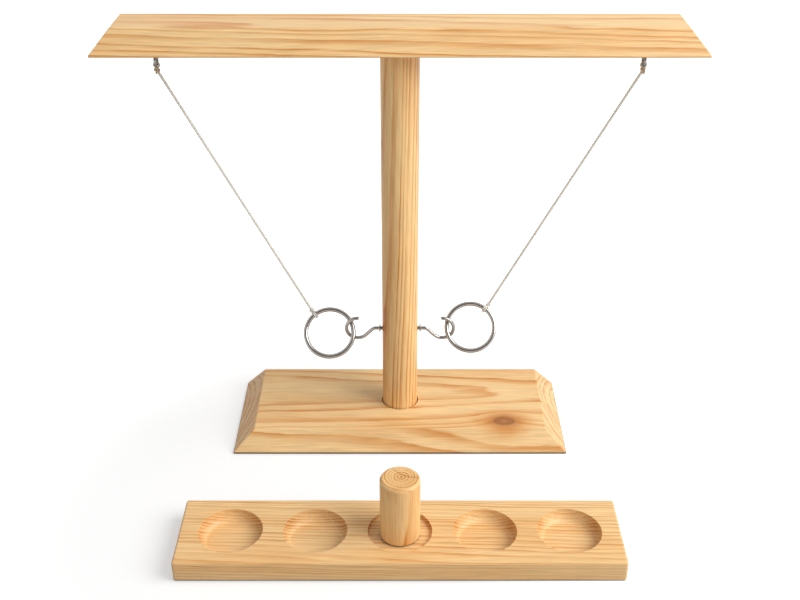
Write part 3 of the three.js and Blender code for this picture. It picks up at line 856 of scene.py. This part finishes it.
class RINGGAME_OT_stage(PieceOperator, bpy.types.Operator):
    """Camera, floor, lamp and surrounding light"""

    bl_idname = "ring_game.stage"
    bl_label = "Stage"

    def execute(self, context):
        stage = context.scene.ring_game_stage
        scene = context.scene
        scene.view_settings.view_transform = "Standard"
        camera = bpy.data.objects.new("camera", bpy.data.cameras.new("camera"))
        camera.data.lens = stage.lens
        camera.location = CAMERA_AT
        camera.rotation_euler = (CAMERA_TILT, 0, 0)
        scene.collection.objects.link(camera)
        scene.camera = camera
        key = bpy.data.objects.new("key_lamp", bpy.data.lights.new("key_lamp", "AREA"))
        key.data.energy = stage.key_power
        key.data.shape = "DISK"
        key.data.size = KEY_SIZE
        key.location = KEY_AT
        key.rotation_euler = (KEY_AIM - key.location).to_track_quat("-Z", "Y").to_euler()
        scene.collection.objects.link(key)
        self.make_floor(scene, stage)
        self.make_world(scene, stage)
        return {"FINISHED"}

    def seen(self, tree):
        """1 for rays from the camera, or mirrored or passed on to it, and 0 for light on the object."""
        path = add(tree, "LightPath")
        mirrored = add(tree, "Math", {"operation": "MAXIMUM"}, {
            0: path["Is Glossy Ray"], 1: path["Is Transmission Ray"]})[0]
        return add(tree, "Math", {"operation": "MAXIMUM"}, {0: path["Is Camera Ray"], 1: mirrored})[0]

    def make_floor(self, scene, stage):
        bm = bmesh.new()
        bmesh.ops.create_grid(bm, x_segments=1, y_segments=1, size=FLOOR_REACH,
                              matrix=Matrix.Translation(-UP * FLOOR_DROP))
        mesh = bpy.data.meshes.new("floor")
        bm.to_mesh(mesh)
        bm.free()
        material, tree = new_material("white_table")
        # The floor's glow is painted dimmer round the middle of the shadows, so that they show there, and it
        # is fully white away from them
        spot = add(tree, "TexCoord")["Object"]
        away = add(tree, "VectorMath", {"operation": "DISTANCE"}, {0: spot, 1: SHADOW_MIDDLE})["Value"]
        white = add(tree, "MapRange", {"interpolation_type": "SMOOTHSTEP"}, {
            0: away, 1: SHADOW_FADE[0], 2: SHADOW_FADE[1], 3: stage.floor_glow, 4: 1})[0]
        glow = add(tree, "Math", {"operation": "MULTIPLY"}, {0: self.seen(tree), 1: white})[0]
        matt = add(tree, "BsdfDiffuse", {}, {"Color": grey(FLOOR_GREY)})[0]
        light = add(tree, "Emission", {}, {"Color": grey(1), "Strength": glow})[0]
        add(tree, "OutputMaterial", {}, {"Surface": add(tree, "AddShader", {}, {0: matt, 1: light})[0]})
        mesh.materials.append(material)
        floor = bpy.data.objects.new("floor", mesh)
        scene.collection.objects.link(floor)

    def make_world(self, scene, stage):
        world = bpy.data.worlds.new("white_room")
        world.use_nodes = True
        tree = world.node_tree
        tree.nodes.clear()
        # Steel shows the white room, and the darker side of it that the player sits on
        way = add(tree, "TexCoord")["Generated"]
        towards = add(tree, "VectorMath", {"operation": "DOT_PRODUCT"}, {0: way, 1: DARK_SIDE})["Value"]
        dark = add(tree, "MapRange", {"interpolation_type": "SMOOTHSTEP"}, {0: towards, **DARKNESS})[0]
        glossy = add(tree, "LightPath")["Is Glossy Ray"]
        lost = add(tree, "Math", {"operation": "MULTIPLY"}, {0: dark, 1: glossy})[0]
        white = add(tree, "Math", {"operation": "SUBTRACT"}, {0: 1, 1: lost})[0]
        strength = add(tree, "MapRange", {}, {0: self.seen(tree), 3: stage.ambient, 4: white})[0]
        light = add(tree, "Background", {}, {"Color": grey(1), "Strength": strength})
        add(tree, "OutputWorld", {}, {"Surface": light[0]})
        scene.world = world


class RINGGAME_OT_cords(PieceOperator, bpy.types.Operator):
    """Twisted cords, with the knots at the screw eyes and at the rings"""

    bl_idname = "ring_game.cords"
    bl_label = "Cords and knots"

    def execute(self, context):
        cord = context.scene.ring_game_cord
        clean = cotton("twisted_cotton", cord.cotton)
        soiled = cotton("soiled_cotton", cord.soiled)
        for name, side in SIDES:
            self.make_side(cord, clean, soiled, name, side)
        return {"FINISHED"}

    def make_side(self, cord, clean, soiled, name, side):
        """Straight cord from the knot under its eye to the knot at its ring."""
        eye = JOINT_AT[f"{name}_cord_swing"]
        upper = eye - UP * (EYE_WIRE / 2 + FIT + UPPER_KNOT_DIAMETER / 2)
        lower = JOINT_AT[f"{name}_ring_rock"]
        route = straight(upper, lower, cord.lay / LAY_STEPS)
        strands = tubes(twisted(route, cord.diameter, cord.lay), cord.diameter * STRAND_RADIUS)
        piece = add_piece(strands, f"{name}_twisted_cord", clean, f"{name}_cord_set", f"{name}_cord",
                          crease=ROUND_CREASE)
        top_knot = self.make_top_knot(cord, soiled, name, side, eye, upper)
        ring_knot = self.make_ring_knot(cord, clean, name, side, lower)

    def make_top_knot(self, cord, material, name, side, eye, at):
        """Loop through the screw eye, with its knot below it."""
        thin = cord.diameter * KNOT_CORD
        knot = overhand(at, (UPPER_KNOT_DIAMETER - thin) / 2, sided(KNOT_FACE, side), UP)
        loop = loop_round(eye, BACK, (EYE_WIRE + thin) / 2, -UP, 1, 0)
        tail_way = sided(TAIL_WAY, side)
        tail = drooping(at, tail_way, cord.tail)
        bm = self.knot([knot, loop, tail], frayed(tail[-1], tail_way, EYE_KNOT_FRAY), thin, cord.lay)
        return add_piece(bm, f"{name}_top_knot", material, f"{name}_cord_set", f"{name}_upper_knot",
                         crease=ROUND_CREASE)

    def make_ring_knot(self, cord, material, name, side, at):
        """Turns round the ring's wire, with their knot outside it."""
        thin = cord.diameter * KNOT_CORD
        centre, axis, radius = ring_shape(name)
        to_knot = (at - centre).normalized()
        knot = overhand(at, (LOWER_KNOT_DIAMETER - thin) / 2, sided(KNOT_FACE, side), to_knot)
        wrap = loop_round(centre + to_knot * radius, axis.cross(to_knot), (RING_WIRE + thin) / 2, to_knot,
                          RING_TURNS, RING_WRAP_WIDTH)
        tail_start = (to_knot * RING_TAIL_OUT - axis * RING_TAIL_FRONT).normalized()
        tail = drooping(at, tail_start, cord.tail * RING_TAIL_SHARE)
        tail_way = (tail[-1] - tail[-2]).normalized()
        bm = self.knot([knot, wrap, tail], frayed(tail[-1], tail_way, RING_KNOT_FRAY), thin, cord.lay)
        return add_piece(bm, f"{name}_ring_knot", material, f"{name}_ring_set", f"{name}_lower_knot",
                         crease=ROUND_CREASE)

    def knot(self, routes, yarns, thin, lay):
        """Twisted cord along the routes of a knot, with the yarns of its cut end."""
        strands = [path for route in routes for path in twisted(route, thin, lay * KNOT_LAY)]
        return joined([tubes(strands, thin * KNOT_STRAND, 2), tubes(yarns, YARN_RADIUS, 1)])


class RINGGAME_OT_boards(PieceOperator, bpy.types.Operator):
    """Base board and crossbeam, with bevels at the front and ends"""

    bl_idname = "ring_game.boards"
    bl_label = "Base board and crossbeam"

    def execute(self, context):
        wood = context.scene.ring_game_wood
        base = pine("base_pine", wood, pith=(10, -62), year=wood.base_year / MM, seed=1.7,
                    knot=(BASE_KNOT_AT, BASE_KNOT_RADIUS), foot=0)
        add_piece(bevelled_board("base_board", BASE_END_BEVEL, BASE_FRONT_BEVEL, False, wood.arris),
                  "bevelled_base", base, "stand", "base_board", even=True)
        beam = pine("beam_pine", wood, pith=(-10, 216), year=wood.beam_year / MM, seed=5.2, wander=9)
        add_piece(bevelled_board("crossbeam", BEAM_END_BEVEL, BEAM_FRONT_BEVEL, True, wood.arris),
                  "bevelled_beam", beam, "stand", "crossbeam", even=True)
        return {"FINISHED"}


class RINGGAME_OT_pole(PieceOperator, bpy.types.Operator):
    """Pole of turned pine dowel"""

    bl_idname = "ring_game.pole"
    bl_label = "Pole"

    def execute(self, context):
        wood = context.scene.ring_game_wood
        material = pine("pole_pine", wood, pith=(22, -58), year=wood.pole_year / MM, seed=8.1, upright=True,
                        wander=5, depths=(0.9, 1.3))
        add_piece(dowel(*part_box("pole"), wood.arris, wood.arris), "turned_pole", material, "stand", "pole",
                  even=True)
        return {"FINISHED"}


class RINGGAME_OT_tray(PieceOperator, bpy.types.Operator):
    """Tray with four bowl-shaped cups and a shallow recess for the peg"""

    bl_idname = "ring_game.tray"
    bl_label = "Tray"

    def execute(self, context):
        wood = context.scene.ring_game_wood
        low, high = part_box("tray")
        middle = (low.y + high.y) / 2
        bm = bmesh.new()
        rims = []
        for i in range(CUP_COUNT):
            x = (i - (CUP_COUNT - 1) / 2) * CUP_SPACING
            left = low.x if i == 0 else x - CUP_SPACING / 2
            right = high.x if i == CUP_COUNT - 1 else x + CUP_SPACING / 2
            rim, _ = open_face(bm, (x, middle), CUP_DIAMETER / 2, (left, low.y), (right, high.y), high.z)
            if i == (CUP_COUNT - 1) / 2:
                self.sink_recess(bm, rim, high.z)
            else:
                self.sink_cup(bm, rim, x, middle, high.z)
            rims.append(Vector((x, middle)))
        bmesh.ops.remove_doubles(bm, verts=bm.verts, dist=MERGE_DISTANCE)
        outline = [edge for edge in bm.edges if edge.is_boundary]
        closed(bm, extended(bm, outline, lambda point: Vector((point.x, point.y, low.z))))
        bmesh.ops.recalc_face_normals(bm, faces=bm.faces)
        self.round_tray(bm, rims, high.z, wood)
        material = pine("tray_pine", wood, pith=(-188, -40), year=wood.tray_year / MM, seed=11.4, wander=8,
                        depths=(0.4, 1.2), foot=0)
        add_piece(bm, "cupped_tray", material, "tray_set", "tray", even=True)
        return {"FINISHED"}

    def sink_recess(self, bm, rim, top):
        """Upright wall from the rim to a flat floor."""
        closed(bm, extended(bm, rim, lambda point: Vector((point.x, point.y, top - PEG_RECESS_DEPTH))))

    def sink_cup(self, bm, rim, x, y, top):
        """Hollow wall from the rim to a flat floor, as a round-nosed cutter leaves it."""
        floor = CUP_FLOOR_DIAMETER / CUP_DIAMETER
        edges = rim
        before = 1
        for i in range(1, CUP_WALL_STEPS + 1):
            angle = i / CUP_WALL_STEPS * math.pi / 2
            share = floor + (1 - floor) * math.cos(angle)
            z = top - CUP_DEPTH * math.sin(angle)
            edges = extended(bm, edges, lambda point: Vector((
                x + (point.x - x) * share / before, y + (point.y - y) * share / before, z)))
            before = share
        closed(bm, edges)

    def round_tray(self, bm, rims, top, wood):
        """Rounds the tray's outer edges, and then the lips of its cups."""
        radius = CUP_DIAMETER / 2
        in_cups = [edge for edge in bm.edges
                   if any(all((vert.co.xy - rim).length < radius + RIM_TOLERANCE for vert in edge.verts)
                          for rim in rims)]
        round_edges(bm, sharp_edges(bm, in_cups), wood.tray_arris, 4)
        lips = [edge for edge in sharp_edges(bm)
                if all(abs(vert.co.z - top) < MERGE_DISTANCE for vert in edge.verts)
                and any(all(abs((vert.co.xy - rim).length - radius) < RIM_TOLERANCE for vert in edge.verts)
                        for rim in rims)]
        round_edges(bm, lips, wood.cup_arris, 2)


class RINGGAME_OT_peg(PieceOperator, bpy.types.Operator):
    """Loose peg of pine dowel, sawn through the pith"""

    bl_idname = "ring_game.peg"
    bl_label = "Peg"

    def execute(self, context):
        wood = context.scene.ring_game_wood
        low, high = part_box("peg")
        middle = (low + high) / 2
        pith = ((middle.y + PEG_PITH_OFFSET[0]) / MM, (PEG_PITH_OFFSET[1] - middle.x) / MM)
        material = pine("peg_pine", wood, pith, year=wood.peg_year / MM, seed=14.9, upright=True, wander=4,
                        depths=(0.75, 1.2), split=True, foot=low.z - PEG_FOOT_SHADE_DROP)
        add_piece(dowel(low, high, wood.peg_arris, wood.arris), "turned_peg", material, "peg_set", "peg",
                  even=True)
        return {"FINISHED"}


class RINGGAME_OT_rings(PieceOperator, bpy.types.Operator):
    """Steel rings"""

    bl_idname = "ring_game.rings"
    bl_label = "Rings"

    def execute(self, context):
        metal = context.scene.ring_game_metal
        material = steel("polished_ring_steel", metal.ring, roughness=0.22, grain=2.5)
        for name, _ in SIDES:
            bm = bmesh.new()
            wire_ring(bm, *ring_shape(name), RING_WIRE, RING_STEPS)
            add_piece(bm, f"{name}_steel_ring", material, f"{name}_ring_set", f"{name}_ring",
                      crease=ROUND_CREASE)
        return {"FINISHED"}


class RINGGAME_OT_hooks(PieceOperator, bpy.types.Operator):
    """Bent wire hooks screwed into the pole, each with its collar"""

    bl_idname = "ring_game.hooks"
    bl_label = "Hooks and collars"

    def execute(self, context):
        metal = context.scene.ring_game_metal
        material = steel("drawn_hook_wire", metal.hook, roughness=0.24, grain=2)
        pole_low, pole_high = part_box("pole")
        surface = (pole_high.x - pole_low.x) / 2
        for name, side in SIDES:
            bm = self.hook(side, surface, metal.thread_pitch)
            add_piece(bm, f"{name}_wire_hook", material, "stand", f"{name}_hook",
                      crease=WIRE_CREASE)
            bm = self.collar(*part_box(f"{name}_hook_collar"))
            add_piece(bm, f"{name}_pressed_collar", material, "stand", f"{name}_hook_collar",
                      crease=WIRE_CREASE)
        return {"FINISHED"}

    def hook(self, side, surface, pitch):
        """Wire from inside the pole, bent down at its neck and round in an open bend, with a thread."""
        out = RIGHT * side
        level = UP * HOOK_HEIGHT
        turn = -BACK * side
        bend_at = out * (surface + HOOK_REACH) + level
        start = math.pi + HOOK_DIP_ANGLE
        join_x = surface + HOOK_REACH + HOOK_BEND_RADIUS * math.cos(start)
        join_z = HOOK_BEND_RADIUS * math.sin(start)
        neck_x = join_x + join_z / math.tan(HOOK_DIP_ANGLE) - HOOK_NECK_RADIUS * math.tan(HOOK_DIP_ANGLE / 2)
        root = out * (surface - HOOK_ROOT_DEPTH) + level
        neck = out * neck_x + level
        bm = bmesh.new()
        section = wire_circle(bm, root, out, HOOK_WIRE / 2)
        closed(bm, section)
        section = pushed(bm, section, neck - root)
        section = bent_on(bm, section, neck - UP * HOOK_NECK_RADIUS, turn, -HOOK_DIP_ANGLE, NECK_STEPS)
        here = sum((edge.verts[0].co for edge in section), Vector()) / len(section)
        section = pushed(bm, section, out * join_x + level + UP * join_z - here)
        section = bent_on(bm, section, bend_at, turn, 2 * math.pi + HOOK_TIP_ANGLE - start, BEND_STEPS)
        closed(bm, section)
        round_edges(bm, section, HOOK_TIP_ROUND)
        thread(bm, out * (surface - HOOK_THREAD_IN) + level, out * (surface + HOOK_THREAD_OUT) + level,
               HOOK_WIRE / 2, HOOK_THREAD_HEIGHT, pitch)
        return bm

    def collar(self, low, high):
        """Thin round plate with rounded edges."""
        middle = (low + high) / 2
        half = RIGHT * (high.x - low.x) / 2
        bm = bmesh.new()
        capped_bar(bm, middle - half, middle + half, (high.z - low.z) / 2, COLLAR_SIDES)
        round_edges(bm, sharp_edges(bm), COLLAR_ARRIS)
        return bm


class RINGGAME_OT_eyes(PieceOperator, bpy.types.Operator):
    """Screw eyes under the crossbeam"""

    bl_idname = "ring_game.eyes"
    bl_label = "Screw eyes"

    def execute(self, context):
        metal = context.scene.ring_game_metal
        material = steel("zinc_plated_wire", metal.zinc, roughness=0.34, grain=0.9)
        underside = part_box("crossbeam")[0].z
        for name, _ in SIDES:
            low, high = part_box(f"{name}_eye_screw")
            loop = (high.y - low.y - EYE_WIRE) / 2
            eye = Vector(((low.x + high.x) / 2, 0, low.z + EYE_WIRE / 2 + loop))
            tip = Vector((eye.x, 0, high.z))
            bm = bmesh.new()
            wire_ring(bm, eye, RIGHT, loop, EYE_WIRE, EYE_STEPS)
            capped_bar(bm, eye + UP * loop, tip, EYE_WIRE / 2)
            thread(bm, Vector((eye.x, 0, underside - EYE_THREAD_OUT)), tip, EYE_WIRE / 2, EYE_THREAD_HEIGHT,
                   metal.thread_pitch)
            add_piece(bm, f"{name}_screw_eye", material, "stand", f"{name}_eye_screw",
                      crease=WIRE_CREASE)
        return {"FINISHED"}


class RINGGAME_OT_dowel_screws(PieceOperator, bpy.types.Operator):
    """Double-ended screws inside the pole's two joints"""

    bl_idname = "ring_game.dowel_screws"
    bl_label = "Dowel screws"

    def execute(self, context):
        metal = context.scene.ring_game_metal
        material = steel("zinc_plated_screw", metal.zinc, roughness=0.34, grain=0.9)
        for name in ("base", "beam"):
            bm = self.screw(*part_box(f"{name}_dowel_screw"), SCREW_PITCHES * metal.thread_pitch)
            add_piece(bm, f"{name}_double_screw", material, "stand", f"{name}_dowel_screw",
                      crease=WIRE_CREASE)
        return {"FINISHED"}

    def screw(self, low, high, pitch):
        """Upright screw that fills a box, pointed at both ends."""
        radius = (high.x - low.x) / 2
        core = radius * SCREW_CORE_SHARE
        slim = SCREW_TIP_RADIUS / core
        foot = UP * (low.z + DOWEL_SCREW_POINT)
        head = UP * (high.z - DOWEL_SCREW_POINT)
        bm = bmesh.new()
        section = wire_circle(bm, UP * low.z, UP, SCREW_TIP_RADIUS)
        closed(bm, section)
        section = extended(bm, section, lambda spot: Vector((spot.x / slim, spot.y / slim, foot.z)))
        section = pushed(bm, section, head - foot)
        section = extended(bm, section, lambda spot: Vector((spot.x * slim, spot.y * slim, high.z)))
        closed(bm, section)
        thread(bm, foot, head, core, radius - core, pitch)
        return bm


OPERATORS = (RINGGAME_OT_stage, RINGGAME_OT_cords, RINGGAME_OT_boards, RINGGAME_OT_pole, RINGGAME_OT_tray,
             RINGGAME_OT_peg, RINGGAME_OT_rings, RINGGAME_OT_hooks, RINGGAME_OT_eyes,
             RINGGAME_OT_dowel_screws)


class RINGGAME_PT_panel(bpy.types.Panel):
    """Lists the game's settings and the operators that build it"""

    bl_idname = "RINGGAME_PT_panel"
    bl_label = "Ring game"
    bl_space_type = "VIEW_3D"
    bl_region_type = "UI"
    bl_category = "Ring game"

    def draw(self, context):
        for attribute, group in SETTINGS:
            box = self.layout.box()
            for key in group.__annotations__:
                box.prop(getattr(context.scene, attribute), key)
        for operator in OPERATORS:
            self.layout.operator(operator.bl_idname)


def register():
    for _, group in SETTINGS:
        bpy.utils.register_class(group)
    for operator in (*OPERATORS, RINGGAME_PT_panel):
        bpy.utils.register_class(operator)
    for attribute, group in SETTINGS:
        setattr(bpy.types.Scene, attribute, PointerProperty(type=group))


def unregister():
    for attribute, _ in SETTINGS:
        delattr(bpy.types.Scene, attribute)
    for operator in (RINGGAME_PT_panel, *reversed(OPERATORS)):
        bpy.utils.unregister_class(operator)
    for _, group in reversed(SETTINGS):
        bpy.utils.unregister_class(group)


def main():
    register()
    bpy.ops.ring_game.stage()
    bpy.ops.ring_game.cords()
    bpy.ops.ring_game.boards()
    bpy.ops.ring_game.pole()
    bpy.ops.ring_game.tray()
    bpy.ops.ring_game.peg()
    bpy.ops.ring_game.rings()
    bpy.ops.ring_game.hooks()
    bpy.ops.ring_game.eyes()
    bpy.ops.ring_game.dowel_screws()


if __name__ == "__main__":
    main()
